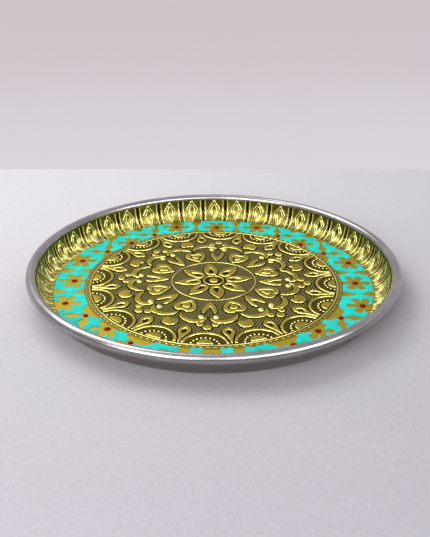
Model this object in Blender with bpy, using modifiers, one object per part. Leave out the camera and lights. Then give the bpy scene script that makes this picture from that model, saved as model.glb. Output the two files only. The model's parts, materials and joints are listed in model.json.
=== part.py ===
"""Round serving plate: a pressed steel dish with a rolled rim, lined with an embossed gilt sheet.

The steel dish is one sheet whose rim is rolled outwards and under into a hollow bead. A gilt liner,
bonded to the dish by a film, covers its floor and its flared wall up to the middle of the bead. The
liner's floor carries a raised mandala, and round it a band of turquoise enamel lies between gilt
flowers and leaves, each flower with a drop of red enamel at its heart.

Lengths are metres, +Z is up, the plate's axis is Z, and its underside rests on z = 0.
"""

from math import acos, cos, hypot, pi, radians, sin, tau

import bmesh
import bpy
from mathutils import Matrix, Vector

# Dish
PLATE_DIAMETER = 0.305
BEAD_DIAMETER = 0.008
DISH_DEPTH = 0.0179
WALL_RUN = 0.0115
STEEL_THICKNESS = 0.0008
CURL_GAP = 0.0006

# Liner and its bond
LINER_THICKNESS = 0.0004
FILM_THICKNESS = 0.0002
FILM_MARGIN = 0.004
BOND_GAP = 0.0003

# Relief on the liner
RELIEF_HEIGHT = 0.0006
PANEL_SWELL = 0.0006
PANEL_COUNT = 40
PANEL_TURN = radians(-0.2)
MANDALA_TURN = radians(-3.6)
BORDER_WIDTH = 0.0059

# Enamel band
BAND_WIDTH = 0.0247
BAND_MARGIN = 0.0003
ENAMEL_THICKNESS = 0.0004
ENAMEL_GAP = 0.0003
ENAMEL_RIM = 0.0006
TRELLIS_SETBACK = 0.00205
TRELLIS_TURN = radians(-1.05)
TRELLIS_ASIDE = 0.0006
TRELLIS_FORWARD = 0.0024

# Flowers and leaves left gilt in the band
PETAL_TURNS = [radians(turn) for turn in (0, 65, 115, 180, 245, 295)]
PETAL_MARGIN = 0.00055
PETAL_HALF_WIDTH = 0.0025
PETAL_TIP_HALF_WIDTH = 0.0015
PETAL_TIP_LENGTH = 0.0033
FLOWER_HEART = 0.0052
LEAF_TIP_GAP = 0.0024
LEAF_POINT = 0.0036
LEAF_POINT_HALF_WIDTH = 0.0018
LEAF_BELLY_BEHIND_TIP = 0.0074
LEAF_BELLY_HALF_WIDTH = 0.0038
LEAF_WAIST = 0.0036
LEAF_WAIST_HALF_WIDTH = 0.0013
CROSS_HEART = 0.0032

# Red drops
FLOWER_DROP_DIAMETER = 0.005
CROSS_DROP_DIAMETER = 0.004
DROP_HEIGHT = 0.0009
DROP_PROFILE = [(0, 1), (0.6, 0.84), (1, 0.36), (1, 0), (0, 0)]

# Facets
TURN_STEPS = 64
WALL_STEPS = 5
BEAD_STEP = radians(30)
HUB_POINTS = 12
DROP_STEPS = 8
RING_STEPS = 40
ARC_POINTS = 8
OVAL_POINTS = 6
MERGE = 0.000001
CREASE_ANGLE = radians(32)
FLAT_ANGLE = radians(0.1)

# What follows from the sizes above
BEAD_RADIUS = BEAD_DIAMETER / 2
BEAD_CENTRE = PLATE_DIAMETER / 2 - BEAD_RADIUS
LINER_REACH = BEAD_CENTRE - BEAD_RADIUS - BOND_GAP - LINER_THICKNESS
FLOOR_RADIUS = LINER_REACH - WALL_RUN
FILM_BASE = STEEL_THICKNESS + BOND_GAP
LINER_BASE = FILM_BASE + FILM_THICKNESS + BOND_GAP
LINER_TOP = LINER_BASE + LINER_THICKNESS
BEAD_HEIGHT = LINER_TOP + DISH_DEPTH
BAND_OUTER = FLOOR_RADIUS - BAND_MARGIN
BAND_INNER = BAND_OUTER - BAND_WIDTH
MANDALA_RADIUS = BAND_INNER - BORDER_WIDTH

# The trellis is a square grid of tiles, and the band runs along the third row from its middle. The
# row's own circle lies a little inside the band's, and the whole grid a little off the plate's axis.
TRELLIS_ROW = 3
TRELLIS_PITCH = (BAND_INNER + BAND_WIDTH / 2 - TRELLIS_SETBACK) / TRELLIS_ROW
TRELLIS_SHIFT = Vector((TRELLIS_ASIDE, -TRELLIS_FORWARD, 0))

# The mandala is drawn on a circle of 100 units and scaled as one to the room inside the border.
# Its half outlines run along a motif's own axis, from the plate's centre outwards: (along, across).
UNIT = MANDALA_RADIUS / 100
PETAL = [(9.8, 0), (9.8, 2.4), (12.4, 4.4), (20, 5.7), (27, 3.7), (32.1, 0)]
PETAL_CORE = [(11.6, 0), (13.6, 2.4), (17.5, 1.9), (23, 0)]
OPEN_LEAF = [(37.7, 0), (44.5, 3.4), (51.3, 5.6), (56, 3.8), (50, 2.4), (44.7, 0)]
HEART = [(37.2, 0), (43, 5.6), (49, 8.6), (54.2, 7.6), (56.2, 3.8), (54.4, 0)]
HEART_MOAT = [(40.6, 0), (46, 4.6), (50.4, 4.8), (51.8, 0)]
HEART_DROP = [(43, 0), (46.8, 3), (49.4, 3), (50.4, 0)]
OGEE = [(76.7, 0), (81.4, 4.4), (87, 3.2), (93, 1), (97, 0)]
SCROLL_BACK = [(55.3, 21.6), (60.5, 22), (66.6, 18.4), (70, 12.6), (69.4, 6.6), (66, 2.6), (62.1, 1.5)]
SCROLL_BELLY = [(64, 3.8), (66, 7.6), (65.8, 12.6), (62.4, 16.8)]
SCROLL_BALL = (61.3, 6.2, 2.6)
BITTEN_DISC = (74.6, 5.6)
BITE_DEPTH = 0.68
BITE_HALF_ANGLE = radians(38)
FAN_PETALS = [(76.9, 0, 3.6, 2.7), (72.6, 6.4, 2.7, 2.9), (72.6, -6.4, 2.7, 2.9)]
CENTRE_BOSS = 3.4
CENTRE_RING = (7.6, 8.7)
INNER_RING = (34, 35)
BORDER_RING = (100.8, 102.4)
SCALLOP_CENTRE = 102
SCALLOP_BOSS = 6
SCALLOP_BOSS_CENTRE = 99.6
SCALLOP_ARCH = (16.2, 18)
SCALLOP_SWEEP = radians(74)

# Colours and finishes
STEEL = ("brushed_steel", (0.60, 0.58, 0.57), 1.0, 0.28)
FILM = ("bonding_film", (0.72, 0.68, 0.52), 0.0, 0.60)
GILT = ("embossed_gilt", (0.62, 0.50, 0.10), 1.0, 0.38)
TURQUOISE = ("turquoise_enamel", (0.02, 0.72, 0.62), 0.0, 0.12)
RED = ("red_enamel", (0.16, 0.004, 0.002), 0.0, 0.10)


def clear_scene():
    for obj in list(bpy.data.objects):
        bpy.data.objects.remove(obj, do_unlink=True)


def new_collection(name):
    collection = bpy.data.collections.new(name)
    bpy.context.scene.collection.children.link(collection)
    return collection


def finish(name, base_color, metallic, roughness):
    material = bpy.data.materials.get(name) or bpy.data.materials.new(name)
    material.use_nodes = True
    shader = material.node_tree.nodes["Principled BSDF"]
    shader.inputs["Base Color"].default_value = (*base_color, 1)
    shader.inputs["Metallic"].default_value = metallic
    shader.inputs["Roughness"].default_value = roughness
    return material


def add_object(name, data, collection):
    obj = bpy.data.objects.new(name, data)
    collection.objects.link(obj)
    return obj


def hide(obj):
    obj.hide_render = True
    obj.display_type = "WIRE"
    return obj


def dress(obj, look):
    """Gives a part its one material, with round faces smooth and edges crisp."""
    obj.data.materials.clear()
    obj.data.materials.append(finish(*look))
    obj.data.shade_smooth()
    obj.data.set_sharp_from_angle(angle=CREASE_ANGLE)
    return obj


def baked(obj):
    """The object's mesh with its modifiers applied."""
    graph = bpy.context.evaluated_depsgraph_get()
    graph.update()
    return bpy.data.meshes.new_from_object(obj.evaluated_get(graph), depsgraph=graph)


def apply_modifiers(obj):
    mesh = baked(obj)
    obj.modifiers.clear()
    obj.data = mesh
    return obj


def turned(name, profile, steps, collection):
    """A solid of revolution. The profile of (radius, height) runs from the axis, over the top, down."""
    mesh = bpy.data.meshes.new(name)
    points = [(radius, 0, height) for radius, height in profile]
    mesh.from_pydata(points, [(i, i + 1) for i in range(len(points) - 1)], [])
    obj = add_object(name, mesh, collection)
    screw = obj.modifiers.new("turn", "SCREW")
    screw.steps = steps
    screw.render_steps = steps
    screw.use_merge_vertices = True
    screw.merge_threshold = MERGE
    return apply_modifiers(obj)


def cut_with(obj, other, operation):
    modifier = obj.modifiers.new(operation.lower(), "BOOLEAN")
    modifier.operation = operation
    modifier.solver = "EXACT"
    modifier.object = other


def flared(rise, steps=WALL_STEPS):
    """A face of the dish, rise below the liner's upper face, from the floor's edge to mid bead.

    The wall is a quarter ellipse, level where it leaves the floor and upright where it meets the
    bead, so faces of unlike rise lie nested round one centre line. rise is (outwards, downwards).
    """
    run = WALL_RUN + rise[0]
    drop = DISH_DEPTH + rise[1]
    turns = [step / steps * pi / 2 for step in range(steps + 1)]
    return [(FLOOR_RADIUS + run * sin(turn), BEAD_HEIGHT - drop * cos(turn)) for turn in turns]


def bead_arc(radius, lip):
    """A face of the bead from the wall, over its top and under to the lip, with corners at its extremes."""
    steps = int((pi - lip) / BEAD_STEP)
    turns = [pi - step * BEAD_STEP for step in range(steps + 1)] + [lip]
    return [(BEAD_CENTRE + radius * cos(turn), BEAD_HEIGHT + radius * sin(turn)) for turn in turns]


def steel_dish(collection):
    """One sheet: floor, flared wall and a bead rolled outwards and under, open at its lip."""
    outwards = LINER_THICKNESS + BOND_GAP
    upper = flared((outwards, LINER_TOP - STEEL_THICKNESS))
    lower = flared((outwards + STEEL_THICKNESS, LINER_TOP))
    lip = pi + acos((BEAD_RADIUS - STEEL_THICKNESS - CURL_GAP) / BEAD_RADIUS) - tau
    outside = bead_arc(BEAD_RADIUS, lip)
    inside = bead_arc(BEAD_RADIUS - STEEL_THICKNESS, lip)[::-1]
    profile = [(0, STEEL_THICKNESS)] + upper[:-1] + outside + inside + lower[-2::-1] + [(0, 0)]
    return dress(turned("steel_dish", profile, TURN_STEPS, collection), STEEL)


def liner_film(collection):
    """The disc of bonding film under the liner's floor."""
    bpy.ops.mesh.primitive_cylinder_add(
        vertices=TURN_STEPS,
        radius=FLOOR_RADIUS - FILM_MARGIN,
        depth=FILM_THICKNESS,
        location=(0, 0, FILM_BASE + FILM_THICKNESS / 2),
    )
    film = bpy.context.object
    film.name = "liner_film"
    film.data.name = "liner_film"
    for owner in list(film.users_collection):
        owner.objects.unlink(film)
    collection.objects.link(film)
    return dress(film, FILM)


def mirrored(half):
    """Closes a half outline, which starts and ends on its axis, with its mirror image."""
    return half + [(along, -across) for along, across in reversed(half) if across]


def oval(along, across, half_along, half_across, points):
    turns = [tau * step / points for step in range(points)]
    return [(along + half_along * cos(turn), across + half_across * sin(turn)) for turn in turns]


def circle(radius, points=RING_STEPS):
    return oval(0, 0, radius, radius, points)


def arc(centre, radius, first, last, points):
    """An arc that bulges towards the plate's middle, about a centre on the motif's axis."""
    turns = [first + (last - first) * step / (points - 1) for step in range(points)]
    return [(centre - radius * cos(turn), radius * sin(turn)) for turn in turns]


def bitten_disc():
    """A disc with a round bite out of the side that faces the plate's middle."""
    centre, radius = BITTEN_DISC
    rim = arc(centre, radius, BITE_HALF_ANGLE, tau - BITE_HALF_ANGLE, ARC_POINTS)
    return rim + [(centre - radius * (1 - BITE_DEPTH), 0)]


def scallop_arch():
    inner, outer = SCALLOP_ARCH
    under = arc(SCALLOP_CENTRE, inner, -SCALLOP_SWEEP, SCALLOP_SWEEP, ARC_POINTS)
    return under + arc(SCALLOP_CENTRE, outer, SCALLOP_SWEEP, -SCALLOP_SWEEP, ARC_POINTS)


def scallop_boss():
    return arc(SCALLOP_BOSS_CENTRE, SCALLOP_BOSS, -pi / 2, pi / 2, OVAL_POINTS)


def scroll(side):
    """A tapered C with a ball in its curl, on one side of an open leaf's axis."""
    along, across, radius = SCROLL_BALL
    body = [(a, side * c) for a, c in SCROLL_BACK + SCROLL_BELLY]
    return [body, oval(along, side * across, radius, radius, OVAL_POINTS)]


def mandala():
    """All the motifs of the mandala as (count, turn, outlines), the turn in steps of the count."""
    fans = [oval(*petal, OVAL_POINTS) for petal in FAN_PETALS]
    return [
        (1, 0, [circle(CENTRE_BOSS, ARC_POINTS)]),
        (1, 0, [circle(radius, HUB_POINTS) for radius in CENTRE_RING]),
        (1, 0, [circle(radius) for radius in INNER_RING]),
        (1, 0, [circle(radius) for radius in BORDER_RING]),
        (8, 0.25, [mirrored(PETAL), mirrored(PETAL_CORE)]),
        (8, 0, [mirrored(OPEN_LEAF)]),
        (8, 0.5, [mirrored(HEART), mirrored(HEART_MOAT), mirrored(HEART_DROP)]),
        (8, 0, scroll(1) + scroll(-1)),
        (8, 0.5, [bitten_disc()]),
        (8, 0, fans),
        (16, 0, [scallop_boss(), scallop_arch()]),
        (16, 0.5, [mirrored(OGEE)]),
    ]


def plate_of_outlines(name, outlines, low, high, collection):
    """A flat solid between two heights from closed outlines, where a loop inside a loop is a hole."""
    curve = bpy.data.curves.new(name, "CURVE")
    curve.dimensions = "2D"
    curve.fill_mode = "BOTH"
    curve.extrude = (high - low) / 2
    for outline in outlines:
        spline = curve.splines.new("POLY")
        spline.points.add(len(outline) - 1)
        for point, place in zip(spline.points, outline):
            point.co = (place[0], place[1], 0, 1)
        spline.use_cyclic_u = True
    drawn = add_object(name + "_outline", curve, collection)
    drawn.location.z = (high + low) / 2
    mesh = baked(drawn)
    shape = bmesh.new()
    shape.from_mesh(mesh)
    bmesh.ops.remove_doubles(shape, verts=shape.verts, dist=MERGE)
    bmesh.ops.recalc_face_normals(shape, faces=shape.faces)
    shape.to_mesh(mesh)
    shape.free()
    solid = add_object(name, mesh, collection)
    solid.matrix_world = drawn.matrix_world.copy()
    bpy.data.objects.remove(drawn, do_unlink=True)
    return solid


def liner_relief(cutters):
    """The mandala's motifs as flat solids that rise from the liner's floor."""
    outlines = []
    for count, turn, motifs in mandala():
        for copy in range(count):
            heading = MANDALA_TURN + (copy + turn) * tau / count
            matrix = Matrix.Rotation(heading, 2) * UNIT
            outlines += [[matrix @ Vector(point) for point in motif] for motif in motifs]
    root = LINER_TOP - LINER_THICKNESS / 2
    relief = plate_of_outlines("liner_relief", outlines, root, LINER_TOP + RELIEF_HEIGHT, cutters)
    return hide(relief)


def swell_panels(mesh):
    """Raises each of the wall's panels towards the plate's axis, fading at floor and bead."""
    for vertex in mesh.vertices:
        radius = hypot(vertex.co.x, vertex.co.y)
        out = (radius - FLOOR_RADIUS) / WALL_RUN
        down = (BEAD_HEIGHT - vertex.co.z) / DISH_DEPTH
        if out <= 0 or hypot(out, down) > 1 + LINER_THICKNESS / 2 / DISH_DEPTH:
            continue
        heading = Vector(vertex.co.xy).angle_signed(Vector((1, 0)))
        ridge = (1 + cos(PANEL_COUNT * (heading - PANEL_TURN))) / 2
        swell = PANEL_SWELL * ridge * sin(2 * acos(min(1, down)))
        vertex.co.x -= swell * out * vertex.co.x / radius
        vertex.co.y -= swell * out * vertex.co.y / radius
        vertex.co.z += swell * down


def gilt_liner(collection, cutters):
    """The embossed sheet over the dish's floor and wall, up to the middle of the bead."""
    upper = flared((0, 0))
    lower = flared((LINER_THICKNESS, LINER_THICKNESS))
    profile = [(0, LINER_TOP)] + upper + lower[::-1] + [(0, LINER_BASE)]
    liner = turned("gilt_liner", profile, 2 * PANEL_COUNT, collection)
    liner.data.transform(Matrix.Rotation(PANEL_TURN, 4, "Z"))
    swell_panels(liner.data)
    flatten = liner.modifiers.new("flatten", "DECIMATE")
    flatten.decimate_type = "DISSOLVE"
    flatten.angle_limit = FLAT_ANGLE
    cut_with(liner, liner_relief(cutters), "UNION")
    return dress(apply_modifiers(liner), GILT)


def row_tiles():
    """Grid places of the tiles that the third row's circle passes through, in pitches."""
    span = range(-TRELLIS_ROW - 1, TRELLIS_ROW + 2)
    tiles = [(i, j) for i in span for j in span]
    nearest = [hypot(max(abs(i) - 0.5, 0), max(abs(j) - 0.5, 0)) for i, j in tiles]
    farthest = [hypot(abs(i) + 0.5, abs(j) + 0.5) for i, j in tiles]
    return [tile for tile, near, far in zip(tiles, nearest, farthest) if near < TRELLIS_ROW < far]


def row_crosses():
    """Grid places of the corners of those tiles."""
    return sorted({(i + x, j + y) for i, j in row_tiles() for x in (-0.5, 0.5) for y in (-0.5, 0.5)})


def trellis_place(point, height=0.0):
    place = Matrix.Rotation(TRELLIS_TURN, 3, "Z") @ Vector((*point, 0)) * TRELLIS_PITCH
    return place + TRELLIS_SHIFT + Vector((0, 0, height))


def rosette(lobe, turns, heart):
    """An outline of like lobes round a heart, with a corner at the heart's radius between neighbours."""
    outline = []
    for turn, following in zip(turns, turns[1:] + [turns[0] + tau]):
        outline += [Matrix.Rotation(turn, 2) @ Vector(point) for point in lobe]
        outline += [Matrix.Rotation((turn + following) / 2, 2) @ Vector((heart, 0))]
    return outline


def flower():
    """A flower whose petals are half as long as the band is wide, but for a margin."""
    reach = BAND_WIDTH / 2 - PETAL_MARGIN
    side = [(reach - PETAL_TIP_LENGTH, PETAL_HALF_WIDTH), (reach, PETAL_TIP_HALF_WIDTH)]
    petal = [(along, -across) for along, across in side] + side[::-1]
    return rosette(petal, PETAL_TURNS, FLOWER_HEART)


def leaf_cross():
    """Four leaves along the tiles' edges, which stop short of the next cross's leaves."""
    tip = TRELLIS_PITCH / 2 - LEAF_TIP_GAP
    side = [
        (LEAF_WAIST, LEAF_WAIST_HALF_WIDTH),
        (tip - LEAF_BELLY_BEHIND_TIP, LEAF_BELLY_HALF_WIDTH),
        (tip - LEAF_POINT, LEAF_POINT_HALF_WIDTH),
    ]
    leaf = [(along, -across) for along, across in side] + [(tip, 0)] + side[::-1]
    return rosette(leaf, [turn * tau / 4 for turn in range(4)], CROSS_HEART)


def square_ring(name, inner, outer, low, high, cutters):
    """A hidden ring with square edges round the plate's axis."""
    profile = [(inner, high), (outer, high), (outer, low), (inner, low)]
    ring = turned(name, profile + profile[:1], TURN_STEPS, cutters)
    shape = bmesh.new()
    shape.from_mesh(ring.data)
    bmesh.ops.remove_doubles(shape, verts=shape.verts, dist=MERGE)
    shape.to_mesh(ring.data)
    shape.free()
    return hide(ring)


def in_band(point):
    return BAND_INNER < trellis_place(point).length < BAND_OUTER


def trellis_gaps(cutters):
    """The flowers and leaf crosses that the enamel leaves bare, as two cutters.

    A motif with its heart in the band stops at a rim inside the band's outer edge, so that no pool is
    cut in two. The tips of the motifs beside the band only notch its edges.
    """
    turn = Matrix.Rotation(TRELLIS_TURN, 2)
    whole = []
    tips = []
    for points, motif in ((row_tiles(), flower()), (row_crosses(), leaf_cross())):
        for point in points:
            place = trellis_place(point).xy
            outlines = whole if in_band(point) else tips
            outlines.append([turn @ Vector(corner) + place for corner in motif])
    low = LINER_TOP - RELIEF_HEIGHT
    high = LINER_TOP + 2 * ENAMEL_GAP + 2 * ENAMEL_THICKNESS
    inside = plate_of_outlines("gaps_in_band", whole, low, high, cutters)
    beside = plate_of_outlines("gaps_beside_band", tips, low, high, cutters)
    rim = square_ring("band_rim", BAND_OUTER - ENAMEL_RIM, PLATE_DIAMETER, 0, 2 * high, cutters)
    cut_with(inside, rim, "DIFFERENCE")
    return hide(apply_modifiers(inside)), hide(beside)


def keep_main_body(mesh):
    """Deletes the specks that a cut leaves beside the main pool."""
    shape = bmesh.new()
    shape.from_mesh(mesh)
    left = set(shape.verts)
    bodies = []
    while left:
        edge_of_body = [left.pop()]
        body = list(edge_of_body)
        while edge_of_body:
            vertex = edge_of_body.pop()
            near = [edge.other_vert(vertex) for edge in vertex.link_edges]
            fresh = [other for other in near if other in left]
            left.difference_update(fresh)
            edge_of_body += fresh
            body += fresh
        bodies.append(body)
    bodies.sort(key=lambda body: sum(face.calc_area() for face in {f for v in body for f in v.link_faces}))
    specks = [vertex for body in bodies[:-1] for vertex in body]
    bmesh.ops.delete(shape, geom=specks, context="VERTS")
    shape.to_mesh(mesh)
    shape.free()


def enamel_cells(collection, cutters):
    """One pool of turquoise for each tile of the trellis that the band passes over."""
    low = LINER_TOP + ENAMEL_GAP
    high = low + ENAMEL_THICKNESS
    ring = square_ring("band_ring", BAND_INNER, BAND_OUTER, low, high, cutters)
    gaps = trellis_gaps(cutters)
    for number, point in enumerate(row_tiles(), 1):
        bpy.ops.mesh.primitive_cube_add(size=1)
        cell = bpy.context.object
        cell.name = f"turquoise_cell_{number:02d}"
        cell.data.name = cell.name
        for owner in list(cell.users_collection):
            owner.objects.unlink(cell)
        collection.objects.link(cell)
        side = TRELLIS_PITCH - ENAMEL_GAP
        size = Matrix.Diagonal((side, side, 3 * ENAMEL_THICKNESS, 1))
        place = Matrix.Translation(trellis_place(point, (low + high) / 2))
        cell.data.transform(place @ Matrix.Rotation(TRELLIS_TURN, 4, "Z") @ size)
        cut_with(cell, ring, "INTERSECT")
        for gap in gaps:
            cut_with(cell, gap, "DIFFERENCE")
        apply_modifiers(cell)
        keep_main_body(cell.data)
        dress(cell, TURQUOISE)


def drop_mesh(name, diameter, collection):
    profile = [(diameter / 2 * out, DROP_HEIGHT * up) for out, up in DROP_PROFILE]
    pattern = turned(name, profile, DROP_STEPS, collection)
    mesh = dress(pattern, RED).data
    bpy.data.objects.remove(pattern, do_unlink=True)
    return mesh


def red_drops(collection, cutters):
    """A drop at each flower's heart that lies in the band, and a smaller one where four leaves meet."""
    kinds = ((row_tiles(), FLOWER_DROP_DIAMETER), (row_crosses(), CROSS_DROP_DIAMETER))
    number = 0
    for points, diameter in kinds:
        mesh = drop_mesh(f"drop_{1000 * diameter:.0f}_mm", diameter, cutters)
        for point in filter(in_band, points):
            number += 1
            drop = add_object(f"red_drop_{number:02d}", mesh, collection)
            drop.location = trellis_place(point, LINER_TOP + ENAMEL_GAP)


def build():
    clear_scene()
    parts = new_collection("enamel_plate")
    cutters = new_collection("cutters")
    steel_dish(parts)
    liner_film(parts)
    gilt_liner(parts, cutters)
    enamel_cells(parts, cutters)
    red_drops(parts, cutters)


build()
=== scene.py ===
# %% [markdown]
# # A serving plate with an embossed gilt liner and an enamel band
#
# The real plate is a pressed steel dish with a rolled rim. A thin gilt sheet, embossed all over, lies
# in it, and round its floor runs a band of turquoise enamel with gilt flowers and dark red drops. The
# solids come from the CAD frame, and the steps below replace them with finer pieces of the same size.

import json
from math import cos, hypot, pi, radians, sin, tau

import bmesh
import bpy
import numpy as np
from mathutils import Matrix, Vector

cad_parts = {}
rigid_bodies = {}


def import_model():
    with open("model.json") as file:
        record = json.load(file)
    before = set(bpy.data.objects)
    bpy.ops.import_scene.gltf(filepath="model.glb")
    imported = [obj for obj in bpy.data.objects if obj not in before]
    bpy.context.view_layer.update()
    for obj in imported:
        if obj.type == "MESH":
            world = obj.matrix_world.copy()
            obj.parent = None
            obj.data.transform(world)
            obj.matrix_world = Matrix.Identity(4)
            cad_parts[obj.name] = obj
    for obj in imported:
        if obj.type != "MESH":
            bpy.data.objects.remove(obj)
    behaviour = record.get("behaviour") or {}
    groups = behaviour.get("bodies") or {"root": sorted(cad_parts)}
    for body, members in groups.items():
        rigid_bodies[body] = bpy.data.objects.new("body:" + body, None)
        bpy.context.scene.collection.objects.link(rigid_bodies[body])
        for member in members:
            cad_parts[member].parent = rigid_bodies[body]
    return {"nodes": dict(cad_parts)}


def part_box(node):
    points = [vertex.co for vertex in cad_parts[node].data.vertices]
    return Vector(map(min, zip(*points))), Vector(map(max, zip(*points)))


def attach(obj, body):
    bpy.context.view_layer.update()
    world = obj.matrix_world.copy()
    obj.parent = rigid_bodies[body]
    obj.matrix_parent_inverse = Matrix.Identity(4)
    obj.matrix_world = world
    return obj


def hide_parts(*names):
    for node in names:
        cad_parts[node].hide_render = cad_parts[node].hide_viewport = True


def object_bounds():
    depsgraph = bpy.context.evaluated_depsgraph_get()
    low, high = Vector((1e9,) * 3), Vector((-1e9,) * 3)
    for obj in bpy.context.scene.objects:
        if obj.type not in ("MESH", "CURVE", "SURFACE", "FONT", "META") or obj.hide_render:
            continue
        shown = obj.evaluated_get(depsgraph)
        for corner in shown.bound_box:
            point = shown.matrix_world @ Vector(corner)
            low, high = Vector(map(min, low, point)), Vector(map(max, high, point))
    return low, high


for leftover in list(bpy.data.objects):
    bpy.data.objects.remove(leftover, do_unlink=True)

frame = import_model()
cad_low, cad_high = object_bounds()
print("CAD nodes:", len(frame["nodes"]))

# %% [markdown]
# ## Sizes
#
# Every size is a real one in metres. The rim's reach and top, and the sheet that the liner rests on, are
# measured on the frame, so the looks stay on the solids. The mandala is drawn on a circle of 100 units,
# as a pattern maker draws it, and one unit's length turns it into metres.

# %% Sizes of the dish and its liner
_, film_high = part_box("liner_film")
PLATE_RADIUS = cad_high.x
SHEET_STEEL = 0.0008
FOIL = 0.0004
BOND = 0.0003
DISH_DEPTH = 0.0179
WALL_RUN = 0.0115
FLOOR_TOP = film_high.z + BOND + FOIL
BEAD_HEIGHT = FLOOR_TOP + DISH_DEPTH
BEAD_RADIUS = cad_high.z - BEAD_HEIGHT
BEAD_CENTRE = PLATE_RADIUS - BEAD_RADIUS
LINER_REACH = BEAD_CENTRE - BEAD_RADIUS - BOND - FOIL
FLOOR_RADIUS = LINER_REACH - WALL_RUN
print(f"bead radius {1000 * BEAD_RADIUS:.2f} mm, floor radius {1000 * FLOOR_RADIUS:.1f} mm")

# %% Sizes of the pattern
BAND_OUTER = FLOOR_RADIUS - 0.0003
BAND_INNER = BAND_OUTER - 0.0247
BORDER = 0.0059
UNIT = (BAND_INNER - BORDER) / 100
MANDALA_TURN = radians(-3.6)
PANELS = 40
PANEL_TURN = radians(-0.2)
TRELLIS_ROW = 3
TRELLIS_PITCH = 0.0392
TRELLIS_TURN = radians(-1.05)
TRELLIS_SHIFT = Vector((0.0006, -0.0024, 0))
print(f"one unit of the mandala is {1000 * UNIT:.3f} mm")

# %% [markdown]
# ## The camera
#
# The plate was seen from in front, 27 degrees above the table. A camera can be placed by eye, but here
# its distance and lens follow from the eight-fold pattern of the floor, whose circles and spokes look
# equal only from one place. The lens is given as the number of pixels that one radian fills. `put`
# stands the camera in the scene, as it later does with everything else.

# %% Putting an object into the scene
def put(name, data):
    obj = bpy.data.objects.new(name, data)
    bpy.context.scene.collection.objects.link(obj)
    return obj


# %% Camera
IMAGE_HEIGHT = 537
PIXELS_PER_RADIAN = 744
PIXEL_SHIFT = (1.35, 12.34)
CAMERA_DISTANCE = 0.6255
CAMERA_RISE = radians(26.92)

camera = put("camera", bpy.data.cameras.new("camera"))
camera.data.sensor_width = 36
camera.data.lens = PIXELS_PER_RADIAN / IMAGE_HEIGHT * camera.data.sensor_width
camera.data.shift_x = PIXEL_SHIFT[0] / IMAGE_HEIGHT
camera.data.shift_y = PIXEL_SHIFT[1] / IMAGE_HEIGHT
camera.data.clip_start = 0.01
toward_camera = Vector((0, -cos(CAMERA_RISE), sin(CAMERA_RISE)))
camera.location = Vector((0, 0, FLOOR_TOP)) + CAMERA_DISTANCE * toward_camera
camera.rotation_euler = (pi / 2 - CAMERA_RISE, 0, 0)
bpy.context.scene.camera = camera
bpy.context.scene.view_settings.view_transform = "Standard"
print(f"lens {camera.data.lens:.1f} mm")

# %% [markdown]
# ## Nodes as sums
#
# A material or a Geometry Nodes tree is easier to read as a formula than as a list of links. `Wire`
# wraps one output socket. Its operators add Math nodes, and `node` adds any other node: the settings
# first, because they decide which sockets a node has, and then what each socket holds.


# %% Wire
class Wire:
    """An output socket that can be added, multiplied and led into further nodes."""

    def __init__(self, tree, socket=None):
        self.tree = tree
        self.socket = socket

    def node(self, kind, settings=(), sockets=(), output=0):
        made = self.tree.nodes.new(kind)
        for name, value in dict(settings).items():
            setattr(made, name, value)
        for name, value in dict(sockets).items():
            if isinstance(value, Wire):
                self.tree.links.new(value.socket, made.inputs[name])
            else:
                made.inputs[name].default_value = value
        return Wire(self.tree, made.outputs[output])

    def also(self, output):
        """Another output of the node that this wire comes from."""
        return Wire(self.tree, self.socket.node.outputs[output])

    def math(self, operation, *values):
        return self.node("ShaderNodeMath", {"operation": operation}, enumerate(values))

    def vector(self, operation, *values, output=0):
        return self.node("ShaderNodeVectorMath", {"operation": operation}, enumerate(values), output)

    def __add__(self, other):
        return self.math("ADD", self, other)

    __radd__ = __add__

    def __sub__(self, other):
        return self.math("SUBTRACT", self, other)

    def __rsub__(self, other):
        return self.math("SUBTRACT", other, self)

    def __mul__(self, other):
        return self.math("MULTIPLY", self, other)

    __rmul__ = __mul__

    def __truediv__(self, other):
        return self.math("DIVIDE", self, other)

    def step(self, start, end):
        """A smooth mask, 0 where the wire is at start and 1 where it is at end."""
        values = {"Value": self, "From Min": start, "From Max": end}
        return self.node("ShaderNodeMapRange", {"interpolation_type": "SMOOTHSTEP"}, values)

    def mix(self, first, second):
        """The first colour where this mask is 0, the second where it is 1."""
        values = {0: self, 6: first, 7: second}
        return self.node("ShaderNodeMix", {"data_type": "RGBA"}, values, 2)


# %% Finishes
def new_finish(name, **constants):
    """A material with its shader's constant sockets set, and a wire to start formulas from."""
    material = bpy.data.materials.new(name)
    material.use_nodes = True
    shader = material.node_tree.nodes["Principled BSDF"]
    for socket, value in constants.items():
        shader.inputs[socket.replace("_", " ")].default_value = value
    place = Wire(material.node_tree).node("ShaderNodeTexCoord", output="Object")
    return material, place


def lead(material, **wires):
    """Leads wires into the shader's sockets."""
    shader = material.node_tree.nodes["Principled BSDF"]
    for socket, wire in wires.items():
        material.node_tree.links.new(wire.socket, shader.inputs[socket.replace("_", " ")])


def noise(place, scale, detail=2.0, stretch=(1, 1, 1)):
    """Cloudy values round a half. The scale is in cycles for each metre."""
    place = place.vector("MULTIPLY", place, stretch)
    return place.node("ShaderNodeTexNoise", (), {"Vector": place, "Scale": scale, "Detail": detail})


def bump(height, depth, below=None):
    """Turns the surface as a relief of this depth would, over any earlier bump."""
    values = {"Height": height, "Distance": depth, "Strength": 1.0}
    if below:
        values["Normal"] = below
    return height.node("ShaderNodeBump", (), values)


def colour(red, green, blue):
    """A colour as it is seen on a screen, from 0 to 255, in the linear values that a node holds."""
    shares = [value / 255 for value in (red, green, blue)]
    return (*[s / 12.92 if s < 0.04045 else ((s + 0.055) / 1.055) ** 2.4 for s in shares], 1)


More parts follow.
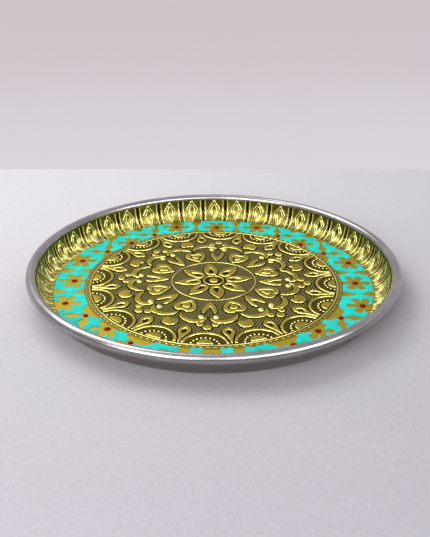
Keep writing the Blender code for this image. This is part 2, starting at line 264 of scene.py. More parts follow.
# %% [markdown]
# ## Steel and gilt
#
# The dish was polished as it turned: fine rings run round it, so its noise is stretched along the turn
# by reading only the distance from the axis and the height. Below the bead it is a little rougher, and
# it is painted darker as painted shade, for the shadowed cloth that it mirrors. The gilt is a thin
# lacquered coat on pressed foil. Its shoulders are painted pale as a painted highlight, and its low
# parts are darker, which the height alone can tell.

# %% Steel
steel, place = new_finish("spun_steel", Metallic=1.0)
across = place.vector("LENGTH", place.vector("MULTIPLY", place, (1, 1, 0)), output="Value")
upwards = place.node("ShaderNodeSeparateXYZ", (), {0: place}, "Z")
rings = place.node("ShaderNodeCombineXYZ", (), {"X": across, "Y": upwards})
lines = noise(rings, 5200, 3)
smears = noise(place, 34, 4)
specks = noise(place, 900, 2)
# Painted shade: below the bead the steel is painted darker, as the shadowed cloth that it mirrors, and
# it is also rougher there.
shade_and_rough_below_bead = upwards.step(BEAD_HEIGHT + 0.0005, BEAD_HEIGHT - 0.0035)
flow = smears * 0.5 + lines * 0.5
bright = flow.step(0.35, 0.65).mix(colour(150, 148, 148), colour(178, 175, 175))
lead(
    steel,
    Base_Color=shade_and_rough_below_bead.mix(bright, colour(150, 142, 140)),
    Roughness=0.2 + 0.08 * smears + 0.05 * specks + 0.1 * shade_and_rough_below_bead,
    Normal=bump(lines, 0.000012),
)
print("steel nodes:", len(steel.node_tree.nodes))

# %% Gilt of the motifs
# Low down it is dark, the round shoulders are painted pale as a painted highlight, and the flat tops are
# matt.
MOTIF_HEIGHT = 0.001
motif_gilt, place = new_finish("gilt_with_painted_highlight", Metallic=1.0, Coat_Roughness=0.16)
height = place.node("ShaderNodeSeparateXYZ", (), {0: place}, "Z") - FLOOR_TOP
grain = noise(place, 1500, 3)
stain = noise(place, 120, 3)
dents = noise(place, 330, 2)
level = (height + 0.0001 * (grain - 0.5)) / MOTIF_HEIGHT
raised = level.step(0.15, 0.45)
flat = level.step(0.88, 0.96) * level.step(1.12, 1.06)
# Painted highlight: the round shoulders are painted pale.
painted_highlight = level.step(0.3, 0.5) * (1 - flat)
top = stain.step(0.3, 0.7).mix(colour(182, 165, 44), colour(158, 141, 32))
lead(
    motif_gilt,
    Base_Color=raised.mix(colour(46, 38, 12), painted_highlight.mix(top, colour(248, 238, 140))),
    Roughness=0.34 - 0.15 * painted_highlight + 0.28 * (1 - raised) + 0.12 * (grain - 0.5),
    Coat_Weight=0.5 * painted_highlight,
    Normal=bump(dents, 0.00014, bump(grain, 0.00004)),
)
print("gilt nodes:", len(motif_gilt.node_tree.nodes))

# %% [markdown]
# ## Pieces from meshes
#
# Each piece ends up as one plain mesh whose object stands at the origin. It rides on the plate's one
# body, and the solid that it replaces is hidden.


# %% Adding a piece
def add_piece(name, mesh, material, slot, *stands_for):
    mesh.materials.clear()
    mesh.materials.append(material)
    mesh.name = name
    obj = put(name, mesh)
    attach(obj, "root")
    if stands_for:
        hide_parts(*stands_for)
    mesh.shade_smooth()
    mesh.set_sharp_from_angle(angle=radians(40))
    mesh.calc_loop_triangles()
    print(f"{name}: {len(mesh.loop_triangles)} triangles")


def tidy(mesh, gap=1e-7):
    """Merges doubles and turns every face outwards."""
    work = bmesh.new()
    work.from_mesh(mesh)
    bmesh.ops.remove_doubles(work, verts=work.verts, dist=gap)
    bmesh.ops.recalc_face_normals(work, faces=work.faces)
    if work.calc_volume(signed=True) < 0:
        bmesh.ops.reverse_faces(work, faces=work.faces)
    work.to_mesh(mesh)
    work.free()
    return mesh


ROUND_STEPS = 240


def turned(name, profile, steps=ROUND_STEPS):
    """A solid of revolution. The profile of (radius, height) runs over the top and back below."""
    turns = [tau * step / steps for step in range(steps)]
    points = []
    rows = []
    for radius, height in profile:
        count = steps if radius else 1
        rows.append(range(len(points), len(points) + count))
        points += [(radius * cos(turn), radius * sin(turn), height) for turn in turns[:count]]
    faces = []
    for upper, lower in zip(rows, rows[1:]):
        for step in range(steps):
            after = (step + 1) % steps
            sides = ((upper, step), (lower, step), (lower, after), (upper, after))
            corners = [row[at % len(row)] for row, at in sides]
            faces.append(list(dict.fromkeys(corners)))
    mesh = bpy.data.meshes.new(name)
    mesh.from_pydata(points, [], faces)
    return tidy(mesh)


# %% [markdown]
# ## The steel dish
#
# On the real plate this is one sheet: floor, flared wall, and a rim rolled outwards and under. A turned
# profile gives it, as a metal spinner would. The wall is a quarter ellipse that leaves the floor level
# and meets the bead upright, and the bead is a long arc that stops short of the wall.


# %% Steel dish
def wall_line(rise_out, rise_down, steps):
    """The wall's line, moved outwards and down from the liner's upper face."""
    turns = [step / steps * pi / 2 for step in range(steps + 1)]
    run = WALL_RUN + rise_out
    drop = DISH_DEPTH + rise_down
    return [(FLOOR_RADIUS + run * sin(turn), BEAD_HEIGHT - drop * cos(turn)) for turn in turns]


def bead_line(radius, first, last, steps):
    turns = [first + (last - first) * step / steps for step in range(steps + 1)]
    return [(BEAD_CENTRE + radius * cos(turn), BEAD_HEIGHT + radius * sin(turn)) for turn in turns]


WALL_ROWS = 24
BEAD_ROWS = 60
LIP = radians(-130)
inside = wall_line(FOIL + BOND, FLOOR_TOP - SHEET_STEEL, WALL_ROWS)
outside = wall_line(FOIL + BOND + SHEET_STEEL, FLOOR_TOP, WALL_ROWS)
profile = [(0, SHEET_STEEL)] + inside[:-1]
profile += bead_line(BEAD_RADIUS, pi, LIP, BEAD_ROWS)
profile += bead_line(BEAD_RADIUS - SHEET_STEEL, LIP, pi, BEAD_ROWS)
profile += outside[-2::-1] + [(0, 0)]
add_piece("pressed_steel_dish", turned("dish", profile), steel, "steel", "steel_dish")

# %% [markdown]
# ## Geometry Nodes trees
#
# What repeats is made by trees. `copies_round` turns copies of one motif round the plate's axis, and
# `beads_along` sets small domes along lines. Each ends in Realize Instances and Set Material, and
# `grown` turns the result into a plain mesh and lets the modifier go.


# %% Trees
def new_tree(name, **inputs):
    """A tree with a geometry input and the named inputs after it, as wires."""
    tree = bpy.data.node_groups.new(name, "GeometryNodeTree")
    tree.interface.new_socket("Geometry", in_out="INPUT", socket_type="NodeSocketGeometry")
    for label, kind in inputs.items():
        tree.interface.new_socket(label, in_out="INPUT", socket_type="NodeSocket" + kind)
    tree.interface.new_socket("Geometry", in_out="OUTPUT", socket_type="NodeSocketGeometry")
    given = tree.nodes.new("NodeGroupInput")
    return tree, {socket.name: Wire(tree, socket) for socket in given.outputs if socket.name}


def end_tree(result, material):
    result = result.node("GeometryNodeRealizeInstances", (), {0: result})
    result = result.node("GeometryNodeSetMaterial", (), {"Geometry": result, "Material": material})
    result.tree.links.new(result.socket, result.tree.nodes.new("NodeGroupOutput").inputs[0])


# %% From a tree to a mesh
def plain_mesh(obj):
    """The mesh that an object's curve or modifiers come to. The object itself is let go."""
    graph = bpy.context.evaluated_depsgraph_get()
    graph.update()
    made = bpy.data.meshes.new_from_object(obj.evaluated_get(graph), depsgraph=graph)
    bpy.data.objects.remove(obj, do_unlink=True)
    return made


def grown(mesh, tree, **values):
    """The plain mesh that a tree makes of another, with the tree's named inputs set."""
    obj = put("growing", mesh)
    modifier = obj.modifiers.new("tree", "NODES")
    modifier.node_group = tree
    for item in tree.interface.items_tree:
        if item.in_out == "INPUT" and item.name in values:
            modifier[item.identifier] = values[item.name]
    return plain_mesh(obj)


# %% Copies round the axis
copies_round, given = new_tree("copies_round", Count="Int", First="Float", Material="Material")
centres = given["Count"].node("GeometryNodePoints", (), {"Count": given["Count"]})
number = centres.node("GeometryNodeInputIndex")
angle = given["First"] + number * tau / given["Count"]
turn = angle.node("ShaderNodeCombineXYZ", (), {"Z": angle})
instances = {"Points": centres, "Instance": given["Geometry"], "Rotation": turn}
copies = centres.node("GeometryNodeInstanceOnPoints", (), instances)
joined = copies.node("GeometryNodeRealizeInstances", (), {0: copies})
joined = joined.node("GeometryNodeMergeByDistance", (), {"Geometry": joined, "Distance": 1e-7})
end_tree(joined, given["Material"])
print("inputs of copies_round:", ", ".join(given))

# %% Beads along lines
beads_along, given = new_tree(
    "beads_along", Spacing="Float", Size="Vector", Segments="Int", Rings="Int", Material="Material"
)
line = given["Geometry"].node("GeometryNodeMeshToCurve", (), {"Mesh": given["Geometry"]})
spaced = {"Curve": line, "Length": given["Spacing"]}
places = line.node("GeometryNodeCurveToPoints", {"mode": "LENGTH"}, spaced)
sphere = {"Segments": given["Segments"], "Rings": given["Rings"], "Radius": 1.0}
dome = line.node("GeometryNodeMeshUVSphere", (), sphere)
dome = dome.node("GeometryNodeTransform", (), {"Geometry": dome, "Scale": given["Size"]})
tangent = places.also("Tangent")
heading = tangent.node("ShaderNodeSeparateXYZ", (), {0: tangent})
heading = heading.math("ARCTAN2", heading.also("Y"), heading)
turn = heading.node("ShaderNodeCombineXYZ", (), {"Z": heading})
instances = {"Points": places, "Instance": dome, "Rotation": turn}
end_tree(places.node("GeometryNodeInstanceOnPoints", (), instances), given["Material"])
print("inputs of beads_along:", ", ".join(given))

# %% [markdown]
# ## The liner's floor
#
# The floor of the pressed sheet is its ground: dark and woven under the mandala, plain gilt under the
# border and the band. The sheet itself is turned. The weave is two sets of fine lines that cross on the
# slant, drawn by sine waves of the place in the finish, and pale where both are high.

# %% Ground finish
WEAVE = 0.0021
ground_gilt, place = new_finish("woven_ground", Metallic=1.0)
x = place.node("ShaderNodeSeparateXYZ", (), {0: place}, "X")
y = x.also("Y")
radius = place.vector("LENGTH", place.vector("MULTIPLY", place, (1, 1, 0)), output="Value")
wobble = 0.0004 * noise(place, 300, 2)
rising = place.math("SINE", (x * 0.91 - y * 0.41 + wobble) * (tau / WEAVE))
falling = place.math("SINE", (x * 0.86 + y * 0.5 + wobble) * (tau / WEAVE))
weave = rising * 0.3 + falling * 0.2 + 0.5
grain = noise(place, 1500, 3)
inside_border = radius.step(100.4 * UNIT, 100.2 * UNIT)
pattern = (weave + 0.4 * (grain - 0.5)).step(0.42, 0.82)
dark = pattern.mix(colour(48, 43, 13), colour(160, 150, 80))
plain = grain.step(0.3, 0.7).mix(colour(164, 143, 26), colour(204, 182, 52))
border = grain.step(0.3, 0.7).mix(colour(120, 106, 26), colour(160, 142, 44))
plain = radius.step(107.2 * UNIT, 106.2 * UNIT).mix(plain, border)
lead(
    ground_gilt,
    Base_Color=inside_border.mix(plain, dark),
    Roughness=0.4 + 0.2 * (grain - 0.5) + 0.12 * inside_border,
    Normal=bump(weave * inside_border, 0.00025, bump(grain, 0.00006)),
)
print(f"threads of the weave: {1000 * WEAVE:.1f} mm apart")

# %% Liner floor
BASE = FLOOR_TOP - FOIL
profile = [(0, FLOOR_TOP), (50 * UNIT, FLOOR_TOP), (BAND_INNER, FLOOR_TOP), (FLOOR_RADIUS, FLOOR_TOP),
           (FLOOR_RADIUS, BASE), (0, BASE)]
add_piece("liner_floor", turned("floor", profile), ground_gilt, "embossed_gilt", "gilt_liner")

# %% [markdown]
# ## The liner's wall
#
# Forty pressed panels stand side by side round the wall, each with a lozenge of raised lines, a drop
# inside it, a deep slot at its side and fine ribs. One panel is a grid bent to the wall, raised by the
# distance to each line, and the tree turns forty of them into a ring. The height that a point is raised
# by is kept as an attribute, so that the finish can darken the hollows.

# %% Panel relief
# Widths and pitches across the panel are angles round the plate's axis, and the rows of pebbles are a
# share of the way up the wall apart.
PANEL_HALF = tau / PANELS / 2
LOZENGE_HALF = radians(2.2)
INNER_HALF = radians(1.15)
SIDE_LINE = radians(0.95)
RIB = radians(0.21)
SLOT = radians(0.3)
STROKE_PITCH = radians(0.86)
PEBBLE_PITCH = radians(0.95)
PEBBLE_ROWS = 0.09
DEEPEST = 0.65 * FOIL


def ridge(distance, width):
    return np.exp(-((distance / width) ** 2))


def panel_relief(across, up):
    """Height in metres at an angle from the panel's middle and a share of the way up the wall."""
    side = np.abs(across)
    lozenge = LOZENGE_HALF * np.interp(up, (0.06, 0.62, 0.99), (0, 1, 0))
    inner = INNER_HALF * np.interp(up, (0.2, 0.6, 0.84), (0, 1, 0))
    outside = side - lozenge
    height = 0.0007 * ridge(outside, RIB)
    height = np.maximum(height, 0.0006 * ridge(side - PANEL_HALF + SIDE_LINE, RIB * 1.1))
    height = np.maximum(height, 0.0006 * ridge(side - inner, RIB) * (up > 0.2) * (up < 0.84))
    wave = np.cos(outside * tau / STROKE_PITCH)
    strokes = np.clip(wave, 0, 1) ** 2 * (outside > 0)
    height = np.maximum(height, 0.0005 * strokes * np.interp(up, (0, 0.5, 0.6, 1), (1, 0.9, 0.5, 0.4)))
    pebbles = np.cos(side * tau / PEBBLE_PITCH) * np.cos(up * tau / PEBBLE_ROWS)
    height = height + 0.00016 * pebbles * (up > 0.45)
    slot = ridge(PANEL_HALF - side, SLOT) * np.interp(up, (0, 0.48, 0.54, 0.98, 1), (0.3, 0.4, 1, 1, 0))
    grooves = np.clip(-wave, 0, 1) ** 3 * (outside > 0) * np.interp(up, (0, 0.06, 0.9, 1), (0, 1, 1, 0))
    height = np.maximum(height - 0.0009 * slot - 0.00019 * grooves, -DEEPEST)
    return height * np.interp(up, (0, 0.04, 0.96, 1), (0, 1, 1, 0))


# %% Wall panel
PANEL_COLUMNS = 52
PANEL_ROWS = 38
BACK_STEP = 13
BACK_DEPTH = 0.8 * FOIL


def wall_sheet(name):
    """One panel as a thin block: a raised front, a smooth back, and edges at the top and the foot.
    Its sides are open, because they meet those of its neighbours in the ring."""
    turns = np.linspace(0, pi / 2, 400)
    run = FLOOR_RADIUS + WALL_RUN * np.sin(turns)
    rise = BEAD_HEIGHT - DISH_DEPTH * np.cos(turns)
    length = np.concatenate(([0], np.cumsum(np.hypot(np.diff(run), np.diff(rise)))))
    across, up = np.meshgrid(np.linspace(-PANEL_HALF, PANEL_HALF, PANEL_COLUMNS + 1),
                             np.linspace(0, 1, PANEL_ROWS + 1))
    turn = np.interp(up * length[-1], length, turns)
    lean = np.hypot(DISH_DEPTH * np.sin(turn), WALL_RUN * np.cos(turn))
    inwards = DISH_DEPTH * np.sin(turn) / lean
    upwards = WALL_RUN * np.cos(turn) / lean
    height = panel_relief(across, up)
    coarse = (slice(None), slice(0, None, BACK_STEP))
    points = []
    for part, shift in (((slice(None),), height), (coarse, np.full_like(height, -BACK_DEPTH))):
        radius = (FLOOR_RADIUS + WALL_RUN * np.sin(turn) - shift * inwards)[part]
        level = (BEAD_HEIGHT - DISH_DEPTH * np.cos(turn) + shift * upwards)[part]
        swing = across[part]
        spots = np.stack((radius * np.cos(swing), radius * np.sin(swing), level), -1)
        points.append(spots.reshape(-1, 3))
    wide = PANEL_COLUMNS + 1
    behind = PANEL_COLUMNS // BACK_STEP + 1
    back = len(points[0])
    faces = []
    for row in range(PANEL_ROWS):
        for column in range(PANEL_COLUMNS):
            corner = row * wide + column
            faces.append([corner, corner + wide, corner + wide + 1, corner + 1])
        for column in range(behind - 1):
            corner = back + row * behind + column
            faces.append([corner, corner + 1, corner + behind + 1, corner + behind])
    for row, order in ((0, 1), (PANEL_ROWS, -1)):
        for column in range(behind - 1):
            first = row * wide + column * BACK_STEP
            corner = back + row * behind + column
            edge = [*range(first, first + BACK_STEP + 1), corner + 1, corner]
            faces.append(edge[::order])
    mesh = bpy.data.meshes.new(name)
    mesh.from_pydata(np.concatenate(points).tolist(), [], faces)
    relief = mesh.attributes.new("relief", "FLOAT", "POINT")
    relief.data.foreach_set("value", np.pad(height.ravel(), (0, len(points[1]))).astype(np.float32))
    return mesh


# %% Wall finish
# Fine streaks run up the wall, so their noise reads the direction from the axis and little height.
wall_gilt, place = new_finish("pressed_wall_gilt", Metallic=1.0, Coat_Roughness=0.2)
raised = place.node("ShaderNodeAttribute", {"attribute_name": "relief"}, (), "Fac")
grain = noise(place, 1300, 3)
stain = noise(place, 90, 3)
outward = place.vector("NORMALIZE", place.vector("MULTIPLY", place, (1, 1, 0)))
streaks = noise(place.vector("ADD", outward, place.vector("MULTIPLY", place, (0, 0, 1.5))), 126, 3)
height = raised + 0.0002 * (grain - 0.5) + 0.00016 * (streaks - 0.5)
# Painted highlight: the raised lines are painted pale.
lit = height.step(0.00018, 0.00052)
sunk = height.step(-0.00006, -0.0002)
level = place.node("ShaderNodeSeparateXYZ", (), {0: place}, "Z")
# Painted light: the foot of the wall is painted lighter, as the pale backdrop that it mirrors, and the
# upper wall darker, as painted shade.
foot = level.step(FLOOR_TOP + 0.5 * DISH_DEPTH, FLOOR_TOP + 0.25 * DISH_DEPTH)
plane_stain_and_painted_light = foot.mix(colour(94, 86, 14), colour(150, 140, 56))
plane_stain_and_painted_light = stain.step(0.3, 0.7).mix(plane_stain_and_painted_light, colour(122, 112, 34))
lead(
    wall_gilt,
    Base_Color=sunk.mix(lit.mix(plane_stain_and_painted_light, colour(250, 243, 168)), colour(20, 17, 3)),
    Roughness=0.26 + 0.12 * lit + 0.2 * sunk + 0.14 * (grain - 0.5),
    Coat_Weight=0.3 * lit,
    Normal=bump(grain, 0.00008, bump(streaks, 0.00018)),
)
panel = grown(wall_sheet("panel"), copies_round, Count=PANELS, First=PANEL_TURN, Material=wall_gilt)
add_piece("liner_wall", tidy(panel), wall_gilt, "embossed_gilt", "gilt_liner")

# %% [markdown]
# ## The mandala's motifs
#
# A motif is a closed outline pressed up out of the ground: a flat matt top and a round shoulder,
# painted pale as a painted highlight. A 2D curve with a fill, a small bevel and automatic handles gives
# just that from a few points, and a second outline inside the first becomes a hollow. Points that need a
# sharp tip get vector handles. Outlines are in units, as (along, across) from the plate's middle, with
# True at a tip.


# %% Outline helpers
def half(*points):
    """A shape that is the same on both sides of its axis, with sharp tips where it crosses it."""
    whole = [(*point, point[1] == 0) if len(point) == 2 else point for point in points]
    return whole + [(along, -across, tip) for along, across, tip in reversed(whole) if across]


def oval(along, across, half_along, half_across, count=8):
    turns = [tau * step / count for step in range(count)]
    return [(along + half_along * cos(t), across + half_across * sin(t), False) for t in turns]


def circle(radius, count):
    return oval(0, 0, radius, radius, count)


def other_side(outline):
    return [(along, -across, tip) for along, across, tip in outline]


# %% Filled outlines
def filled(name, outlines, detail, extrude, offset=0, edge=0):
    """The fill of outlines in metres, where a loop in a loop is a hollow, lying at the height 0."""
    curve = bpy.data.curves.new(name, "CURVE")
    curve.dimensions = "2D"
    curve.fill_mode = "BOTH"
    curve.resolution_u = detail
    curve.bevel_depth = edge
    curve.bevel_resolution = 2
    curve.offset = offset
    curve.extrude = extrude
    for outline in outlines:
        spline = curve.splines.new("BEZIER")
        spline.bezier_points.add(len(outline) - 1)
        for point, (along, across, tip) in zip(spline.bezier_points, outline):
            point.co = (along, across, 0)
            point.handle_left_type = point.handle_right_type = "VECTOR" if tip else "AUTO"
        spline.use_cyclic_u = True
    return plain_mesh(put(name, curve))


# %% Raised motifs
SHOULDER = 0.0007
CORE = 0.0001
SKIRT = 0.0011
SKIRT_HALF = 0.00003
SKIRT_STEP = 0.00001


def raised_motif(name, outlines, holes=(), height=MOTIF_HEIGHT, edge=SHOULDER, detail=5, skirt=SKIRT):
    """A pressed-up shape with round shoulders. Round its foot lies a thin flat skirt, which the finish
    darkens by its low height, and which shows through the holes as well."""
    loops = [
        [(along * UNIT, across * UNIT, tip) for along, across, tip in outline]
        for outline in (*outlines, *holes)
    ]
    body = tidy(filled(name, loops, detail, CORE, -edge, edge))
    body.transform(Matrix.Translation((0, 0, FLOOR_TOP + height - edge - CORE)))
    both = bmesh.new()
    both.from_mesh(body)
    for number, loop in enumerate(loops[:len(outlines)] if skirt else ()):
        foot = tidy(filled(name + "_skirt", [loop], detail, SKIRT_HALF, skirt))
        foot.transform(Matrix.Translation((0, 0, FLOOR_TOP + SKIRT_HALF + SKIRT_STEP * number)))
        both.from_mesh(foot)
    both.to_mesh(body)
    both.free()
    return body


def ring_of(name, outlines, count, turn, **settings):
    """Copies of one motif round the plate. The turn is in steps of the count."""
    motif = raised_motif(name, outlines, **settings)
    first = MANDALA_TURN + turn * tau / count
    ring = grown(motif, copies_round, Count=count, First=first, Material=motif_gilt)
    add_piece(name, ring, motif_gilt, "embossed_gilt", "gilt_liner")


# %% Star of petals
petal = half((10.6, 0), (10.8, 3.2, True), (14, 5), (19, 5.7), (25, 4.3), (32.6, 0))
petal_core = half((12.8, 0), (13.6, 1.8), (16, 2.2), (19.5, 1.4), (22.6, 0))
ring_of("petals", [petal], 8, 0.25, holes=[petal_core])

# %% Open leaves, hearts and scrolls
open_leaf = half((37.4, 0), (41, 2.4), (46, 4.5), (51, 5.8), (54.5, 5.4), (56.4, 4, True), (52.5, 2.8),
                 (48.5, 1.5), (45.2, 0))
ring_of("open_leaves", [open_leaf], 8, 0)
heart = half((36.8, 0), (41, 4.3), (46, 7.8), (50.5, 9), (54, 8), (56.2, 4.8), (56, 2), (54.6, 0))
moat = half((40.8, 0), (44, 2.8), (47.5, 4.7), (50.6, 4.2), (52, 1.8), (51.6, 0))
drop = half((42.6, 0), (45.4, 2.1), (48, 3.3), (50, 2.8), (50.9, 0.9), (50.6, 0))
ring_of("hearts", [heart], 8, 0.5, holes=[moat])
ring_of("heart_drops", [drop], 8, 0.5, skirt=0)
scroll = [(55.0, 21.8, True), (59.5, 22.4, False), (63.8, 21, False), (67.8, 17.5, False),
          (70.2, 12.9, False), (70.2, 8, False), (68.6, 4, False), (65.6, 1.8, False), (62, 1, True),
          (63.6, 3.2, False), (65, 6, False), (65.8, 9.6, False), (65, 13.4, False),
          (62.6, 17, False), (59.4, 19.7, False)]
ring_of("scrolls", [scroll, other_side(scroll)], 8, 0)

# %% Discs, fans and ogees
bitten_disc = half((71, 0), (70.4, 2), (69.4, 3.8, True), (71.8, 5.6), (75, 6), (78.6, 4.5),
                   (80.4, 0, False))
ring_of("bitten_discs", [bitten_disc], 8, 0.5)
fan = [oval(77, 0, 3.1, 3.5), oval(72.3, 5.8, 3, 2.7), oval(72.3, -5.8, 3, 2.7)]
ring_of("fans", fan, 8, 0)
ogee = half((76.2, 0), (79, 3), (82, 4.6), (86, 4.2), (90, 2.6), (94, 1.4), (99.6, 0.7, True))
ogee_core = half((80.4, 0), (82.4, 1.8), (85, 1.9), (88.4, 0))
ring_of("ogees", [ogee], 16, 0.5, holes=[ogee_core])

# %% Scallops
SCALLOP_CENTRE = 102
ARC_POINTS = 9


def scallop_arc(radius, sweep, count):
    turns = [radians(sweep) * (2 * step / (count - 1) - 1) for step in range(count)]
    return [(SCALLOP_CENTRE - radius * cos(turn), radius * sin(turn)) for turn in turns]


def scallop_band(inner, outer, sweep):
    inside = scallop_arc(inner, sweep, ARC_POINTS)
    outside = scallop_arc(outer, sweep, ARC_POINTS)[::-1]
    ends = (0, ARC_POINTS - 1)
    return [(*point, step in ends) for line in (inside, outside) for step, point in enumerate(line)]


boss = half((94, 0, False), (94.9, 3.3), (97.6, 5.6), (100.2, 6.3, True))
ring_of("scallops", [scallop_band(15.9, 18.1, 78)], 16, 0)
ring_of("scallop_bosses", [boss], 16, 0)
moat = scallop_band(16.2, 16.2, 78)[:ARC_POINTS]
ring_of("scallop_moats", [moat], 16, 0, height=0.00021, edge=0.00002, skirt=0)

# %% Rings
border_ring = [circle(101.1, 48), circle(102.1, 48)]
ring_of("border_ring", border_ring, 1, 0, height=0.0006, edge=0.0004, skirt=0)
inner_ring = [circle(34.1, 32), circle(34.9, 32)]
ring_of("inner_ring", inner_ring, 1, 0, height=0.0007, edge=0.0003, skirt=0)
ring_of("centre_ring", [circle(8.8, 16)], 1, 0, holes=[circle(7.3, 16)], edge=0.0005)
ring_of("centre_boss", [circle(3.7, 12)], 1, 0, skirt=0)


# %% Rows of beads
def lines_mesh(name, lines, closed):
    """Lines of (x, y) in metres at the floor's height, as edges."""
    points = []
    edges = []
    for line in lines:
        start = len(points)
        points += [(x, y, FLOOR_TOP) for x, y in line]
        edges += [(start + step, start + step + 1) for step in range(len(line) - 1)]
        if closed:
            edges.append((len(points) - 1, start))
    mesh = bpy.data.meshes.new(name)
    mesh.from_pydata(points, edges, [])
    return mesh


# %% Beads of the scallops and the border
def add_beads(name, mesh):
    add_piece(name, mesh, motif_gilt, "embossed_gilt", "gilt_liner")


small_bead = {"Segments": 8, "Rings": 5, "Material": motif_gilt}
arc = [(along * UNIT, across * UNIT) for along, across in scallop_arc(10.6, 72, 24)]
arc = lines_mesh("bead_arc", [arc], False)
beads = grown(arc, beads_along, Spacing=3.1 * UNIT, Size=(0.0009, 0.001, 0.0009), **small_bead)
add_beads("scallop_beads", grown(beads, copies_round, Count=16, First=MANDALA_TURN, Material=motif_gilt))
ROPE_RADIUS = 104.3 * UNIT
turns = [tau * step / ROUND_STEPS for step in range(ROUND_STEPS)]
rope = lines_mesh("rope", [[(ROPE_RADIUS * cos(turn), ROPE_RADIUS * sin(turn)) for turn in turns]], True)
beads = grown(rope, beads_along, Spacing=5.1 * UNIT, Size=(0.0018, 0.0005, 0.0006), **small_bead)
add_beads("border_beads", beads)

# %% Balls in the scrolls
# A line far shorter than its spacing gets just one bead, at its start.
TICK = 0.0001
ONE_BEAD = 1.0
starts = [(61.3 * UNIT, 5.6 * UNIT * side) for side in (1, -1)]
ticks = lines_mesh("curl_ball", [[(x, y), (x + TICK, y)] for x, y in starts], False)
ball = {"Size": (0.0026, 0.0026, 0.0015), "Segments": 20, "Rings": 10, "Material": motif_gilt}
balls = grown(ticks, beads_along, Spacing=ONE_BEAD, **ball)
add_beads("scroll_balls", grown(balls, copies_round, Count=8, First=MANDALA_TURN, Material=motif_gilt))

# %% [markdown]
# ## The enamel band
#
# The band's pattern is a square trellis laid over the ring: a six-petalled flower in each tile, and four
# leaves wherever four tiles meet. Enamel fills what the gilt leaves free. So the ring is made once, the
# flowers and leaves are cut out of it, and slivers too small to fill are dropped, as an enameller would
# leave them. A bevel gives each pool its rounded brim. A cutter's outline must not cross itself, also
# after it has been widened, or the cut fails without a word: so the pools' heights are printed.


# %% Trellis
def row_tiles():
    """Grid places of the tiles that the third row's circle passes through, in pitches."""
    span = range(-TRELLIS_ROW - 1, TRELLIS_ROW + 2)
    tiles = [(i, j) for i in span for j in span]
    near = [hypot(max(abs(i) - 0.5, 0), max(abs(j) - 0.5, 0)) for i, j in tiles]
    far = [hypot(abs(i) + 0.5, abs(j) + 0.5) for i, j in tiles]
    return [tile for tile, first, last in zip(tiles, near, far) if first < TRELLIS_ROW < last]


TILES = row_tiles()
CROSSES = sorted({(i + x, j + y) for i, j in TILES for x in (-0.5, 0.5) for y in (-0.5, 0.5)})
print(f"{len(TILES)} tiles, {len(CROSSES)} crossings")


# %% Places and rosettes of the trellis
def trellis_place(point):
    return Matrix.Rotation(TRELLIS_TURN, 3, "Z") @ Vector((*point, 0)) * TRELLIS_PITCH + TRELLIS_SHIFT


def in_band(point):
    return BAND_INNER < trellis_place(point).length < BAND_OUTER


def rosette(lobe, turns, heart):
    """An outline of like lobes round a heart. The lobe is one side of it, from the heart to its tip."""
    whole = [(along, -across, tip) for along, across, tip in lobe if across] + lobe[::-1]
    outline = []
    for turn, following in zip(turns, turns[1:] + [turns[0] + tau]):
        matrix = Matrix.Rotation(turn, 2)
        outline += [(*(matrix @ Vector((along, across))), tip) for along, across, tip in whole]
        outline += [(*(Matrix.Rotation((turn + following) / 2, 2) @ Vector((heart, 0))), False)]
    return outline


# %% Flowers and leaves
QUARTERS = [quarter * tau / 4 for quarter in range(4)]
petal = [(0.0066, 0.0023, False), (0.0094, 0.0031, False), (0.012, 0.0019, False)]
flower = rosette(petal, [radians(turn) for turn in (0, 65, 115, 180, 245, 295)], 0.0059)
leaf = [(0.0038, 0.0012, False), (0.0066, 0.0021, False), (0.0098, 0.0038, False),
        (0.0132, 0.0019, False), (0.0164, 0.0012, False), (0.0174, 0, False)]
leaves = rosette(leaf, QUARTERS, 0.0032)
broad_leaf = [(0.005, 0.0034, False), (0.0098, 0.0042, False)] + leaf[3:]
broad_leaves = rosette(broad_leaf, QUARTERS, 0.006)
print(f"points of a flower {len(flower)}, of four leaves {len(leaves)}")


# %% Gaps of the trellis
def block(left, low, right, high):
    return [(left, low, True), (right, low, True), (right, high, True), (left, high, True)]


neck = block(-0.0008, -0.0045, 0.0008, 0.0045)
half_tile = TRELLIS_PITCH / 2 - 0.0008
tile = block(-half_tile, -half_tile, half_tile, half_tile)
web_up = block(-0.0055, 0.003, 0.0055, 0.014)
web_down = block(-0.0055, -0.014, 0.0055, -0.003)
bare_tiles = [(i, j) for i in range(-2, 3) for j in range(-2, 3) if abs(i * j) == 2]
necks = [(i, j) for i, j in CROSSES if (i, j + 1) in CROSSES]
gaps = [
    ("flowers", flower, TILES),
    ("leaves", leaves, [cross for cross in CROSSES if in_band(cross)]),
    ("broad_leaves", broad_leaves, [cross for cross in CROSSES if not in_band(cross)]),
    ("necks", neck, [(i, j + 0.5) for i, j in necks]),
    ("bare_tiles", tile, bare_tiles),
    ("front_web", web_up, [(0, -TRELLIS_ROW)]),
    ("back_web", web_down, [(0, TRELLIS_ROW)]),
]
for name, outline, points in gaps:
    print(f"{name}: {len(points)}")


# %% Cutters
GILT_EDGE = 0.0004
CUTTER_REACH = 0.002


def cutter(name, motif, points):
    """The motif at each of the trellis's points, as one solid that is higher than the enamel."""
    turn = Matrix.Rotation(TRELLIS_TURN, 2)
    outlines = []
    for point in points:
        middle = trellis_place(point).xy
        outlines.append([(*(turn @ Vector((x, y)) + middle), tip) for x, y, tip in motif])
    solid = put(name, tidy(filled(name, outlines, 4, CUTTER_REACH, GILT_EDGE), 1e-6))
    solid.location.z = FLOOR_TOP
    return solid


# %% Enamel pools
ENAMEL_BASE = FLOOR_TOP - 0.0001
ENAMEL_TOP = FLOOR_TOP + 0.0004
BRIM = 0.00018
LEAST_POOL = 0.000025


